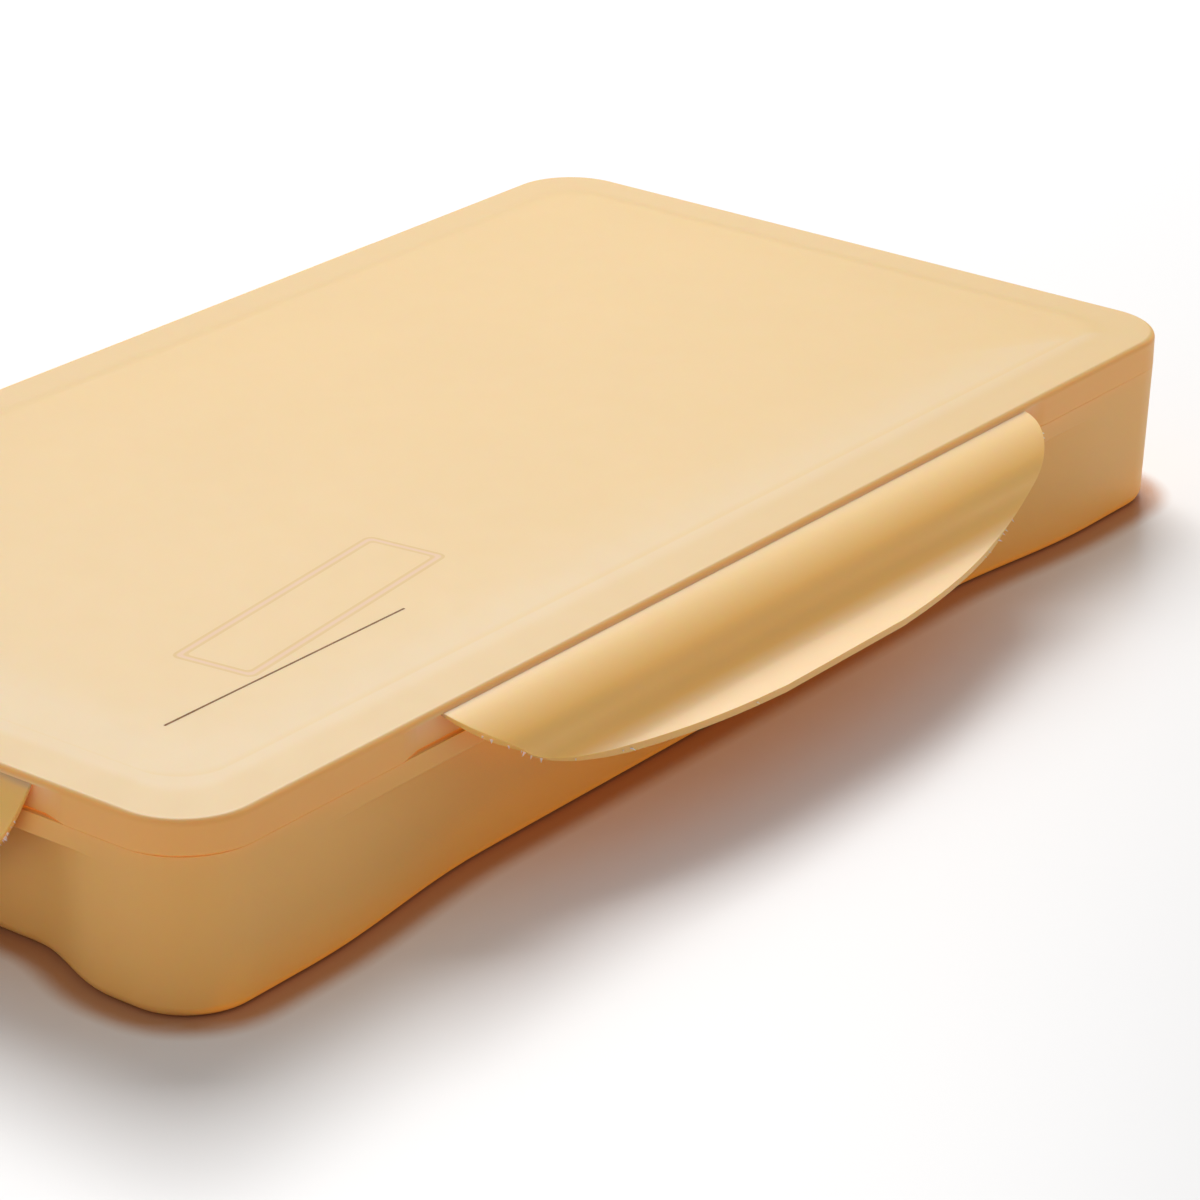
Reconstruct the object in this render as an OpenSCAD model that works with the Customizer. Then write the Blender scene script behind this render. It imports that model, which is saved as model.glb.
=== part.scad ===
// Snap-lid paint case: a shallow tray, a lift-off lid with four hinged flaps, a lift-out
// palette and a grid of square paint cups. Millimetres, +Z up, origin under the middle.

/* [Case] */
// Length of the case over its walls
case_l = 315; // [290:1:360]
// Width of the case over its walls
case_w = 168; // [158:1:210]
// Height of the tray, from what it stands on to the parting line
tray_h = 31.2; // [29:0.2:45]
// Plan radius of the case's corners
corner_r = 15; // [10:0.5:22]
// Thickness of the tray's walls
wall_t = 1.8; // [1.2:0.1:2.2]
// Thickness of the tray's floor
floor_t = 1.6; // [1:0.1:3]
// How far each tray wall leans in at the foot
wall_draft = 1; // [0:0.1:1.5]
// Rounding along the foot of the tray
foot_round = 1.4; // [0.6:0.1:2]
// Height of the ring that the tray stands on
foot_h = 0.6; // [0.3:0.1:1.2]
// Width of the ring that the tray stands on
foot_ring_w = 5; // [3:0.5:10]

/* [Finger recesses] */
// Depth of the finger recess in each long wall
long_recess_d = 4.4; // [3.6:0.1:5]
// Full-depth length of the recess in each long wall
long_recess_flat = 146; // [110:2:180]
// Length of the soft bend at each end of that recess
long_recess_bend = 54; // [30:2:56]
// Depth of the finger recess in each short wall
short_recess_d = 6.6; // [4.4:0.1:6.8]
// Full-depth length of the recess in each short wall
short_recess_flat = 78; // [64:2:86]
// Length of the soft bend at each end of that recess
short_recess_bend = 24; // [12:1:26]
// Height of the rim band that is left standing above the recesses
band_h = 4.2; // [3:0.1:6]

/* [Lid] */
// Height of the lid's rim above the parting line
rim_h = 6.7; // [5.5:0.1:12]
// Thickness of the lid's top plate
lid_t = 1.8; // [1.2:0.1:3]
// Thickness of the lid's skirt
skirt_t = 1.8; // [1.4:0.1:2.4]
// Rounding along the lid's top edge
lid_round = 0.8; // [0.4:0.1:1.4]
// Width of the flat border round the raised panel
border_w = 9; // [5:0.5:20]
// Width of the soft step up to the raised panel
panel_step_w = 3; // [1:0.5:6]
// Height of that step
panel_step_h = 0.2; // [0.1:0.05:0.5]
// How much higher the panel stands in its middle
panel_crown = 0.15; // [0.05:0.05:0.5]
// Gap along the parting line
part_gap = 0.3; // [0.15:0.05:0.6]
// Thickness of the ring under the lid that centres it in the tray
plug_t = 1.2; // [0.8:0.1:1.6]
// How far that ring reaches below the parting line
plug_reach = 2; // [1.6:0.1:2.2]
// Length of the raised outline on the lid
frame_l = 62; // [30:1:80]
// Width of the raised outline on the lid
frame_w = 16.4; // [10:0.2:30]
// Width of the outline's bead
frame_bead_w = 0.9; // [0.5:0.1:2]
// Height of the outline's bead
frame_bead_h = 0.15; // [0.1:0.05:0.4]
// Turn of the outline on the lid, degrees
frame_turn = 7; // [0:1:15]

/* [Seal] */
// Height of the sealing ring
seal_h = 1.2; // [0.8:0.1:1.4]
// Width of the sealing ring
seal_w = 1; // [0.7:0.1:1.4]
// How deep the sealing ring sits in its groove
seal_seat = 0.6; // [0.4:0.1:0.7]

/* [Flaps] */
// Length of each long flap
long_flap_l = 188; // [120:1:196]
// Length of each short flap
short_flap_l = 99; // [60:1:104]
// Thickness of the flaps
flap_t = 1.6; // [1.2:0.1:1.8]
// Thickness of the flaps along their hinge line
hinge_t = 0.7; // [0.5:0.1:0.8]
// Drop from the lid's rim to the hinge line
hinge_drop = 1.5; // [1.3:0.1:2]
// Depth of the relief in the skirt behind each flap
relief_d = 0.9; // [0.8:0.1:1.1]
// How far that relief runs past each end of a long flap
long_relief_margin = 9.4; // [4:0.2:12]
// How far that relief runs past each end of a short flap
short_relief_margin = 5.8; // [4:0.2:12]
// Radius of the flap's upper bulge
bulge_r = 17; // [14:0.5:22]
// Radius of the bend under the bulge
tuck_r = 6.5; // [5:0.5:8]
// Radius of the hollow above the lip
flare_r = 5.6; // [5:0.2:8]
// Length of the straight lip
lip_l = 6; // [2:0.1:7]
// Reach of the catch bead under the rim band
catch_reach = 0.8; // [0.4:0.1:1]
// Length of the catch bead on a long flap
long_catch_l = 110; // [40:2:120]
// Length of the catch bead on a short flap
short_catch_l = 50; // [20:2:60]
// How far the long flaps stand open at rest, degrees from latched
long_flap_rest = 49; // [20:1:70]
// How far the short flaps stand open at rest, degrees from latched
short_flap_rest = 11; // [11:1:40]

/* [Cups] */
// Gap between neighbouring cups, over their rims
cup_gap = 1.4; // [0.6:0.1:3]
// Gap between the cups and the recess in each short wall
cup_end_gap = 2.4; // [0.6:0.1:4]
// Gap between the cups and the recess in each long wall
cup_side_gap = 4.3; // [0.6:0.1:6]
// Height of a cup
cup_h = 21.6; // [18:0.2:21.8]
// Thickness of a cup's walls
cup_wall = 1.1; // [0.8:0.1:1.6]
// Plan radius of a cup's corners, over its rim
cup_corner_r = 9; // [6:0.5:14]
// Width of a cup's rim outside its wall
cup_rim_w = 1.8; // [1:0.1:3]
// Thickness of a cup's rim
cup_rim_t = 1.2; // [0.8:0.1:2]
// Depth of the paint in a cup
paint_h = 14.6; // [6:0.2:15.4]
// Height of the ribs between the cups
rib_h = 1.2; // [1:0.2:8]
// Thickness of the ribs between the cups
rib_t = 1.4; // [1:0.1:2.4]

/* [Palette] */
// Thickness of the palette's deck, walls and wells
palette_t = 1.3; // [0.8:0.1:1.6]
// Width of the palette's rim that rests on the tray's ledge
palette_rim_w = 3.4; // [2.8:0.1:4]
// Gap from the palette's deck to the underside of the lid
palette_headroom = 1.6; // [1:0.1:3]
// Small wells along the palette
well_count = 6; // [2:1:8]
// Mixing pans along the palette
pan_count = 3; // [1:1:4]
// Width of the row of small wells
well_row_w = 38; // [24:1:44]
// Width of the brush trough
trough_w = 12; // [8:0.5:16]
// Web between neighbouring wells
well_web = 5; // [3:0.5:8]
// Plan radius of the wells' corners
well_r = 5; // [3:0.5:8]

/* [Fits] */
// Running clearance between pieces that move apart
fit_gap = 0.3; // [0.2:0.05:0.4]
// Clearance under pieces that rest on one another
rest_gap = 0.1; // [0.05:0.05:0.2]

/* [Hidden] */

// Heights
rim_z = tray_h + rim_h;
lid_under_z = rim_z - lid_t;
band_z = tray_h - band_h;
ledge_z = band_z + wall_t;
floor_z = foot_h + floor_t;
cup_z = floor_z + rest_gap;
panel_z = rim_z + panel_step_h;
crown_z = panel_z + panel_crown;
hinge_z = rim_z - hinge_drop;
relief_top_z = hinge_z + hinge_t / 2 + rest_gap;
deck_z = lid_under_z - palette_headroom;
palette_rim_z = ledge_z + rest_gap;
plug_z = tray_h - plug_reach;
well_bottom_z = cup_z + cup_h + fit_gap;
seal_z = (tray_h + plug_z) / 2;

// Plan offsets in from the case's outline
plug_outer = wall_t + seal_w - seal_seat + fit_gap / 2;
plug_inner = plug_outer + plug_t;
palette_inset = plug_inner + fit_gap;
palette_wall_inset = palette_inset + palette_rim_w;

// Hinge axis, in from the case's side
hinge_in = hinge_t / 2;

// Steps of the curves
corner_steps = 8;
bend_steps = 6;
arc_step = 6;
outline_steps = 30;
hinge_facets = 24;

// Power of the flaps' outline, where 2 would be an ellipse
outline_power = 2.2;

// Inset of the panel's level middle
crown_inset = 40;

// Overlap of cutting and joining solids
cut = 1;

// Angles of the flap's outer face, from straight down, where its arcs meet
root_a = 30;
bulge_end_a = -5;
tuck_end_a = -45;
lip_a = 33;

// Places on the lid and the deck
frame_at = [-73, -37.8];

// Cups along and across the case, between the recesses of its walls
cup_cols = 6;
cup_rows = 3;
cups_w = case_w - 2 * (wall_draft + wall_t + long_recess_d + cup_side_gap);
cups_l = case_l - 2 * (wall_draft + wall_t + short_recess_d + cup_end_gap);
cup_size = [(cups_l + cup_gap) / cup_cols - cup_gap, (cups_w + cup_gap) / cup_rows - cup_gap];
cup_pitch = [cup_size.x + cup_gap, cup_size.y + cup_gap];

case_colour = "#f0d29c";
paint_colours = ["#f7f5ee", "#f6dc3a", "#f2b21c", "#ec7a1e", "#d8341f", "#b01c35",
    "#e77f9c", "#7a3a86", "#2f3a96", "#1f5fae", "#4aa3d6", "#2fa5a0",
    "#1f7a4c", "#7fae3c", "#c58b2e", "#8c4a26", "#4e3324", "#1d1c1e"];

// ---- plan outlines -------------------------------------------------------------------

function corner(cx, cy, r, a0) =
    [for (i = [0 : corner_steps]) let (a = a0 + 90 * i / corner_steps)
        [cx + r * cos(a), cy + r * sin(a)]];

// A rounded rectangle, hx by hy in half lengths, counter-clockwise
function rounded(hx, hy, r) = concat(
    corner(hx - r, hy - r, r, 0), corner(r - hx, hy - r, r, 90),
    corner(r - hx, r - hy, r, 180), corner(hx - r, r - hy, r, 270));

// The case's outline, moved in by inset
function case_outline(inset) =
    rounded(case_l / 2 - inset, case_w / 2 - inset, max(corner_r - inset, 1));

// Stations along a wall: the two bends of its recess
function stations(flat, bend) = [for (s = [-1, 1]) for (i = [0 : bend_steps])
    let (k = s < 0 ? bend_steps - i : i) s * (flat / 2 + bend * k / bend_steps)];

// Depth of a recess at u along its wall
function dip(u, flat, bend, depth) =
    let (k = min(max((abs(u) - flat / 2) / bend, 0), 1)) depth * (1 + cos(180 * k)) / 2;

long_u = stations(long_recess_flat, long_recess_bend);
short_u = stations(short_recess_flat, short_recess_bend);

// The tray's outline, moved in by inset, with a share of the recesses' depth
function tray_outline(inset, share) =
    let (hx = case_l / 2 - inset, hy = case_w / 2 - inset, r = max(corner_r - inset, 1),
        nl = len(long_u) - 1, ns = len(short_u) - 1,
        in_y = [for (u = long_u)
            share * dip(u, long_recess_flat, long_recess_bend, long_recess_d)],
        in_x = [for (u = short_u)
            share * dip(u, short_recess_flat, short_recess_bend, short_recess_d)])
    concat(
        corner(hx - r, hy - r, r, 0),
        [for (i = [nl : -1 : 0]) [long_u[i], hy - in_y[i]]],
        corner(r - hx, hy - r, r, 90),
        [for (i = [ns : -1 : 0]) [in_x[i] - hx, short_u[i]]],
        corner(r - hx, r - hy, r, 180),
        [for (i = [0 : nl]) [long_u[i], in_y[i] - hy]],
        corner(hx - r, r - hy, r, 270),
        [for (i = [0 : ns]) [hx - in_x[i], short_u[i]]]);

function at_height(outline, z) = [for (p = outline) [p.x, p.y, z]];

// A solid through rings of as many points each, from the lowest to the highest. Its ends are
// fans round the axis, because some of a ring's points lie in line
module loft(rings) {
    n = len(rings[0]);
    m = len(rings);
    bottom = m * n;
    top = bottom + 1;
    sides = [for (j = [0 : m - 2]) for (i = [0 : n - 1])
        let (k = (i + 1) % n, a = j * n + i, b = j * n + k, c = b + n, d = a + n)
            each [[a, d, c], [a, c, b]]];
    ends = [for (i = [0 : n - 1]) let (k = (i + 1) % n, last = (m - 1) * n)
        each [[bottom, i, k], [top, last + k, last + i]]];
    polyhedron(points = concat([for (r = rings) each r],
        [[0, 0, rings[0][0].z], [0, 0, rings[m - 1][0].z]]), faces = concat(sides, ends));
}

module prism(outline, z0, z1) {
    translate([0, 0, z0]) linear_extrude(z1 - z0) polygon(outline);
}

// ---- tray ----------------------------------------------------------------------------

function lean(z) = wall_draft * (1 - z / tray_h);

module tray_outside() {
    mid = foot_round * (1 - cos(45));
    loft([
        at_height(tray_outline(lean(0) + foot_round, 1), 0),
        at_height(tray_outline(lean(mid) + mid, 1), mid),
        at_height(tray_outline(lean(foot_round), 1), foot_round),
        at_height(tray_outline(lean(band_z), 1), band_z),
        at_height(tray_outline(lean(band_z), 0), band_z + rest_gap),
        at_height(tray_outline(0, 0), tray_h)]);
}

module tray_inside() {
    loft([
        at_height(tray_outline(lean(0) + wall_t + foot_round / 2, 1), floor_z),
        at_height(tray_outline(lean(floor_z) + wall_t, 1), floor_z + foot_round),
        at_height(tray_outline(lean(ledge_z) + wall_t, 1), ledge_z - rest_gap),
        at_height(tray_outline(lean(ledge_z) + wall_t, 0), ledge_z),
        at_height(tray_outline(wall_t, 0), tray_h + cut)]);
}

module ribs() {
    span_x = cup_cols * cup_pitch.x - cup_rim_w;
    span_y = cup_rows * cup_pitch.y - cup_rim_w;
    for (i = [1 : cup_cols - 1])
        translate([(i - cup_cols / 2) * cup_pitch.x - rib_t / 2, -span_y / 2, floor_z - cut / 2])
            cube([rib_t, span_y, rib_h + cut / 2]);
    for (j = [1 : cup_rows - 1])
        translate([-span_x / 2, (j - cup_rows / 2) * cup_pitch.y - rib_t / 2, floor_z - cut / 2])
            cube([span_x, rib_t, rib_h + cut / 2]);
}

module tray() color(case_colour) union() {
    difference() {
        tray_outside();
        tray_inside();
        prism(tray_outline(lean(0) + foot_round + foot_ring_w, 1), -cut, foot_h);
    }
    ribs();
}

// ---- lid -----------------------------------------------------------------------------

module lid_outside() {
    mid = lid_round * (1 - cos(45));
    loft([
        at_height(case_outline(0), tray_h + part_gap),
        at_height(case_outline(0), rim_z - lid_round),
        at_height(case_outline(mid), rim_z - mid),
        at_height(case_outline(lid_round), rim_z),
        at_height(case_outline(border_w), rim_z),
        at_height(case_outline(border_w + panel_step_w), panel_z),
        at_height(case_outline(crown_inset), crown_z)]);
}

// The pocket in the skirt behind a flap, on the wall that faces -Y
module relief(length, half_w) {
    translate([-length / 2, -half_w - cut, tray_h])
        cube([length, cut + relief_d, relief_top_z - tray_h]);
}

module raised_frame() {
    translate([frame_at.x, frame_at.y, panel_z - frame_bead_h]) rotate(frame_turn)
        linear_extrude(crown_z - panel_z + 2 * frame_bead_h) difference() {
            square([frame_l, frame_w], center = true);
            square([frame_l - 2 * frame_bead_w, frame_w - 2 * frame_bead_w], center = true);
        }
}

module plug_ring() difference() {
    prism(case_outline(plug_outer), plug_z, lid_under_z + cut / 2);
    prism(case_outline(plug_inner), plug_z - cut, lid_under_z);
    difference() {
        prism(case_outline(plug_outer - cut), seal_z - seal_h / 2, seal_z + seal_h / 2);
        prism(case_outline(plug_outer + seal_seat), seal_z - seal_h, seal_z + seal_h);
    }
}

module lid() color(case_colour) union() {
    difference() {
        lid_outside();
        prism(case_outline(skirt_t), tray_h - cut, lid_under_z);
        for (turn = [0, 180]) {
            rotate(turn) relief(long_flap_l + 2 * long_relief_margin, case_w / 2);
            rotate(turn + 90) relief(short_flap_l + 2 * short_relief_margin, case_l / 2);
        }
    }
    plug_ring();
    raised_frame();
}

module seal_ring() color("#d9d4c6") difference() {
    prism(case_outline(plug_outer + seal_seat - seal_w), seal_z - seal_h / 2 + rest_gap / 2,
        seal_z + seal_h / 2 - rest_gap / 2);
    prism(case_outline(plug_outer + seal_seat - rest_gap / 2), seal_z - seal_h, seal_z + seal_h);
}

// ---- flaps ---------------------------------------------------------------------------

// Outer face of a latched flap: points [out, down] from the hinge axis with their angle
function arc_face(from, r, a0, a1) = let (s = a1 < a0 ? 1 : -1, n = ceil(abs(a1 - a0) / arc_step))
    [for (i = [0 : n]) let (a = a0 + (a1 - a0) * i / n)
        [from.x + s * r * (cos(a) - cos(a0)), from.y + s * r * (sin(a0) - sin(a)), a]];

face_start = [hinge_t / 2 * cos(root_a), -hinge_t / 2 * sin(root_a)];
bulge = arc_face(face_start, bulge_r, root_a, bulge_end_a);
tuck = arc_face(bulge[len(bulge) - 1], tuck_r, bulge_end_a, tuck_end_a);
flare = arc_face(tuck[len(tuck) - 1], flare_r, tuck_end_a, lip_a);
flare_end = flare[len(flare) - 1];
lip_end = [flare_end.x + lip_l * sin(lip_a), flare_end.y + lip_l * cos(lip_a), lip_a];
outer_face = concat(bulge, [for (i = [1 : len(tuck) - 1]) tuck[i]],
    [for (i = [1 : len(flare) - 1]) flare[i]], [lip_end]);

// The flap is thin at its hinge and reaches its full thickness at the end of the bulge
function thick(p) = p.y > bulge[len(bulge) - 1].y ? flap_t
    : hinge_t + (flap_t - hinge_t) * max(p.y, 0) / bulge[len(bulge) - 1].y;
inner_face = [for (p = outer_face) [p.x - thick(p) * cos(p[2]), p.y + thick(p) * sin(p[2])]];
flap_reach = max([for (p = inner_face) p.y]);

function inner_out_at(down) = lookup(down, [for (p = inner_face) [p.y, p.x]]);

// Half length of a flap at a share of its reach: full at the hinge, none at the lip
function half_at(half_l, share) = half_l * pow(1 - share * share, 1 / outline_power);

module flap_section() {
    polygon(concat([for (p = outer_face) [p.x, -p.y]],
        [for (i = [len(inner_face) - 1 : -1 : 0]) [inner_face[i].x, -inner_face[i].y]]));
    circle(d = hinge_t, $fn = hinge_facets);
}

// A latched flap on the wall that faces -Y, with its hinge axis along X through the origin
module latched_flap(flap_l, catch_l) {
    shares = [for (i = [0 : outline_steps]) sin(90 * i / outline_steps)];
    outline = concat(
        [for (s = shares) [half_at(flap_l / 2, s), -s * flap_reach]],
        [for (i = [outline_steps - 1 : -1 : 0])
            [-half_at(flap_l / 2, shares[i]), -shares[i] * flap_reach]],
        [[-flap_l / 2, hinge_t], [flap_l / 2, hinge_t]]);
    intersection() {
        rotate([90, 0, -90]) translate([0, 0, -flap_l / 2]) linear_extrude(flap_l)
            flap_section();
        rotate([90, 0, 0]) translate([0, 0, -rim_z]) linear_extrude(2 * rim_z)
            polygon(outline);
    }
    catch_top = hinge_z - band_z + fit_gap;
    catch_in = hinge_in - catch_reach - wall_draft * (tray_h - band_z) / tray_h;
    translate([-catch_l / 2, -inner_out_at(catch_top) - flap_t / 2, -catch_top - flap_t])
        cube([catch_l, inner_out_at(catch_top) + flap_t / 2 - catch_in, flap_t]);
}

module flap(flap_l, catch_l, half_w, rest) {
    translate([0, hinge_in - half_w, hinge_z]) rotate([-rest, 0, 0])
        latched_flap(flap_l, catch_l);
}

module front_flap() color(case_colour)
    flap(long_flap_l, long_catch_l, case_w / 2, long_flap_rest);
module back_flap() color(case_colour) rotate(180)
    flap(long_flap_l, long_catch_l, case_w / 2, long_flap_rest);
module left_flap() color(case_colour) rotate(-90)
    flap(short_flap_l, short_catch_l, case_l / 2, short_flap_rest);
module right_flap() color(case_colour) rotate(90)
    flap(short_flap_l, short_catch_l, case_l / 2, short_flap_rest);

// ---- palette -------------------------------------------------------------------------

well_hx = case_l / 2 - palette_wall_inset - palette_t - well_web;
well_hy = case_w / 2 - palette_wall_inset - palette_t - well_web;
pan_w = 2 * well_hy - well_row_w - trough_w - 2 * well_web;

// Places and sizes of the hollows: [x, y, length, width]
function row(count, y, w) = let (l = (2 * well_hx - (count - 1) * well_web) / count)
    [for (i = [0 : count - 1]) [-well_hx + l / 2 + i * (l + well_web), y, l, w]];
hollows = concat(
    row(well_count, well_hy - well_row_w / 2, well_row_w),
    row(1, well_hy - well_row_w - well_web - trough_w / 2, trough_w),
    row(pan_count, -well_hy + pan_w / 2, pan_w));

module hollow_plan(h, grow) translate([h[0], h[1]])
    polygon(rounded(h[2] / 2 + grow, h[3] / 2 + grow, well_r + grow));

module palette() color("#f4f3ee") difference() {
    union() {
        prism(case_outline(palette_inset), palette_rim_z, palette_rim_z + palette_t);
        prism(case_outline(palette_wall_inset), palette_rim_z, deck_z);
        for (h = hollows) translate([0, 0, well_bottom_z])
            linear_extrude(deck_z - well_bottom_z) hollow_plan(h, palette_t);
    }
    difference() {
        prism(case_outline(palette_wall_inset + palette_t), palette_rim_z - cut,
            deck_z - palette_t);
        for (h = hollows) translate([0, 0, palette_rim_z - 2 * cut])
            linear_extrude(deck_z) hollow_plan(h, palette_t);
    }
    for (h = hollows) translate([0, 0, well_bottom_z + palette_t])
        linear_extrude(deck_z) hollow_plan(h, 0);
}

// ---- cups and paint ------------------------------------------------------------------

function cup_at(i) = [((i % cup_cols) - (cup_cols - 1) / 2) * cup_pitch.x,
    ((cup_rows - 1) / 2 - floor(i / cup_cols)) * cup_pitch.y, cup_z];

// A cup's plan, moved in by inset from the edge of its rim
module cup_plan(inset) polygon(
    rounded(cup_size.x / 2 - inset, cup_size.y / 2 - inset, cup_corner_r - inset));

module cup(i) color("#f3f1ea") translate(cup_at(i)) difference() {
    union() {
        linear_extrude(cup_h) cup_plan(cup_rim_w);
        translate([0, 0, cup_h - cup_rim_t]) linear_extrude(cup_rim_t) cup_plan(0);
    }
    translate([0, 0, cup_wall]) linear_extrude(cup_h) cup_plan(cup_rim_w + cup_wall);
}

module paint(i) color(paint_colours[i]) translate(cup_at(i))
    translate([0, 0, cup_wall + rest_gap / 2]) linear_extrude(paint_h)
        cup_plan(cup_rim_w + cup_wall + rest_gap / 2);

tray();
lid();
seal_ring();
front_flap();
back_flap();
left_flap();
right_flap();
palette();
cup(0);  // cup_01
cup(1);  // cup_02
cup(2);  // cup_03
cup(3);  // cup_04
cup(4);  // cup_05
cup(5);  // cup_06
cup(6);  // cup_07
cup(7);  // cup_08
cup(8);  // cup_09
cup(9);  // cup_10
cup(10);  // cup_11
cup(11);  // cup_12
cup(12);  // cup_13
cup(13);  // cup_14
cup(14);  // cup_15
cup(15);  // cup_16
cup(16);  // cup_17
cup(17);  // cup_18
paint(0);  // paint_01
paint(1);  // paint_02
paint(2);  // paint_03
paint(3);  // paint_04
paint(4);  // paint_05
paint(5);  // paint_06
paint(6);  // paint_07
paint(7);  // paint_08
paint(8);  // paint_09
paint(9);  // paint_10
paint(10);  // paint_11
paint(11);  // paint_12
paint(12);  // paint_13
paint(13);  // paint_14
paint(14);  // paint_15
paint(15);  // paint_16
paint(16);  // paint_17
paint(17);  // paint_18
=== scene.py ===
"""A snap-lid paint case in pastel plastic: a tray, a lid with four hinged flaps, a palette, and
cups of paint."""
import math
import random
from collections import namedtuple

import bmesh
import bpy
from mathutils import Matrix, Vector, noise


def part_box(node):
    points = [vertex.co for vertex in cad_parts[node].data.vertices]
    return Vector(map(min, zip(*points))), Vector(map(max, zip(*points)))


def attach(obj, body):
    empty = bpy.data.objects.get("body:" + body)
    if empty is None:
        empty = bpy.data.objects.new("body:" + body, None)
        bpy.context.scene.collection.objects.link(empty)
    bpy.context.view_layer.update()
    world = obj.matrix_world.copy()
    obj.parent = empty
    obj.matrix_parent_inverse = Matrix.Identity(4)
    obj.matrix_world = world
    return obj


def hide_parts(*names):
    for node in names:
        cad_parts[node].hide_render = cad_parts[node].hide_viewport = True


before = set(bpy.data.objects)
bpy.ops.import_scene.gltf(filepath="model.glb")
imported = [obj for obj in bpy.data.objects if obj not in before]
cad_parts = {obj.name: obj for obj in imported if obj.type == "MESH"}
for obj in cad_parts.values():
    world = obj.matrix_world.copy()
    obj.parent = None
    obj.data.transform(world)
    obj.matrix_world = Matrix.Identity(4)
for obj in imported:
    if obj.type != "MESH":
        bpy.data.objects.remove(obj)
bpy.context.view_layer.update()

MM = 0.001
QUARTER = math.pi / 2

# ---- sizes from the frame ------------------------------------------------------------

HALF_L, HALF_W, PARTING_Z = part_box("tray")[1]
PALETTE_LOW, PALETTE_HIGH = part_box("palette")

# ---- case, as the CAD has it ---------------------------------------------------------

CORNER_R = 15 * MM
LEAST_R = 1 * MM  # a corner keeps this radius, however deep the inset
WALL = 1.8 * MM
DRAFT = 1 * MM
FOOT_R = 2.6 * MM
FOOT_H = 0.6 * MM
FOOT_RING_W = 5 * MM
FLOOR_T = 1.6 * MM
FLOOR_Z = FOOT_H + FLOOR_T
LONG_RECESS = dict(depth=4.4 * MM, flat=146 * MM, bend=54 * MM)
SHORT_RECESS = dict(depth=6.6 * MM, flat=78 * MM, bend=24 * MM)
BAND_H = 4.2 * MM
BAND_Z = PARTING_Z - BAND_H
LEDGE_Z = BAND_Z + WALL

# ---- lid -----------------------------------------------------------------------------

RIM_Z = PARTING_Z + 6.7 * MM
LID_T = 1.8 * MM
SKIRT_T = 1.8 * MM
LID_EDGE_R = 1.3 * MM
BORDER_W = 9 * MM
PANEL_STEP_W = 3 * MM
PANEL_STEP_H = 0.18 * MM
PANEL_CROWN = 0.17 * MM
CROWN_INSET = 34 * MM
CROWN_ROWS = (18 * MM, 60 * MM, 7)
PANEL_FILLET = 40 * MM
PANEL_CORNER_R, PANEL_CORNER_GROWTH, MOST_CORNER_R = 10 * MM, 0.8, 24 * MM
PANEL_Z = RIM_Z + PANEL_STEP_H
LID_UNDER_Z = RIM_Z - LID_T
PART_GAP, CORNER_GAP, FLAP_GAP = 0.03 * MM, 0.22 * MM, 0.3 * MM
PLUG_T = 1.2 * MM
PLUG_REACH = 2 * MM
PLUG_Z = PARTING_Z - PLUG_REACH
SEAL_H = 1.2 * MM
SEAL_W = 1 * MM
SEAL_SEAT = 0.6 * MM
SEAL_Z = PARTING_Z - PLUG_REACH / 2
FIT, REST = 0.3 * MM, 0.1 * MM  # gaps beside pieces that move apart, and under resting ones
PLUG_OUTER = WALL + SEAL_W - SEAL_SEAT + FIT / 2
PLUG_INNER = PLUG_OUTER + PLUG_T
LONG_RELIEF = 103.4 * MM
SHORT_RELIEF = 55.3 * MM
RELIEF_D = 0.8 * MM
RELIEF_TAPER = 5 * MM

# ---- flaps ---------------------------------------------------------------------------

HINGE_T = 0.7 * MM
HINGE_IN = HINGE_T / 2
HINGE_Z = RIM_Z - 1.5 * MM
RELIEF_TOP = HINGE_Z + HINGE_T / 2 - 0.06 * MM
FLAP_T = 1.6 * MM
BULGE_R = 17 * MM
TUCK_R = 6.5 * MM
FLARE_R = 5.6 * MM
LIP_L = 6 * MM
ROOT_A, BULGE_END_A, TUCK_END_A, LIP_A = (math.radians(a) for a in (30, -5, -45, 33))
OUTLINE_POWER = 2.2
CATCH_REACH = 0.8 * MM

# ---- plans: rounded rectangles -------------------------------------------------------

Station = namedtuple("Station", "core_x core_y normal_x normal_y")


class Plan:
    """A rounded rectangle. A station on its edge is a share of the core, inside its corner
    circles, and a normal. Stations run counter-clockwise."""

    def __init__(self, half_x, half_y, radius, centre=(0, 0), steps=8, long_u=(), short_u=()):
        self.half = Vector((half_x, half_y))
        self.radius = radius
        self.centre = Vector(centre)
        core = (half_x - radius, half_y - radius)
        self.stations = []
        for quarter in range(4):
            sign_x = (1, -1, -1, 1)[quarter]
            sign_y = (1, 1, -1, -1)[quarter]
            for i in range(steps + 1):
                angle = QUARTER * (quarter + i / steps)
                self.stations.append(Station(sign_x, sign_y, math.cos(angle), math.sin(angle)))
            if quarter % 2 == 0:
                for u in sorted(long_u, reverse=sign_x > 0):
                    self.stations.append(Station(u / core[0], sign_y, 0, sign_y))
            else:
                for u in sorted(short_u, reverse=sign_y > 0):
                    self.stations.append(Station(sign_x, u / core[1], sign_x, 0))

    def along(self, station):
        """The side that a station is on, "long", "short" or None, and its place there."""
        if abs(station.core_x) < 1:
            return "long", station.core_x * (self.half.x - self.radius)
        if abs(station.core_y) < 1:
            return "short", station.core_y * (self.half.y - self.radius)
        return None, 0

    def spot(self, station, inset, z, least=LEAST_R):
        """The point at an inset from the edge; its corner radius is never under the least."""
        radius = max(self.radius - inset, least)
        core = self.half - Vector((inset + radius,) * 2)
        return Vector((
            self.centre.x + station.core_x * core.x + station.normal_x * radius,
            self.centre.y + station.core_y * core.y + station.normal_y * radius,
            z))


def spread(low, high, count):
    return [low + (high - low) * i / count for i in range(count + 1)]


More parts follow.
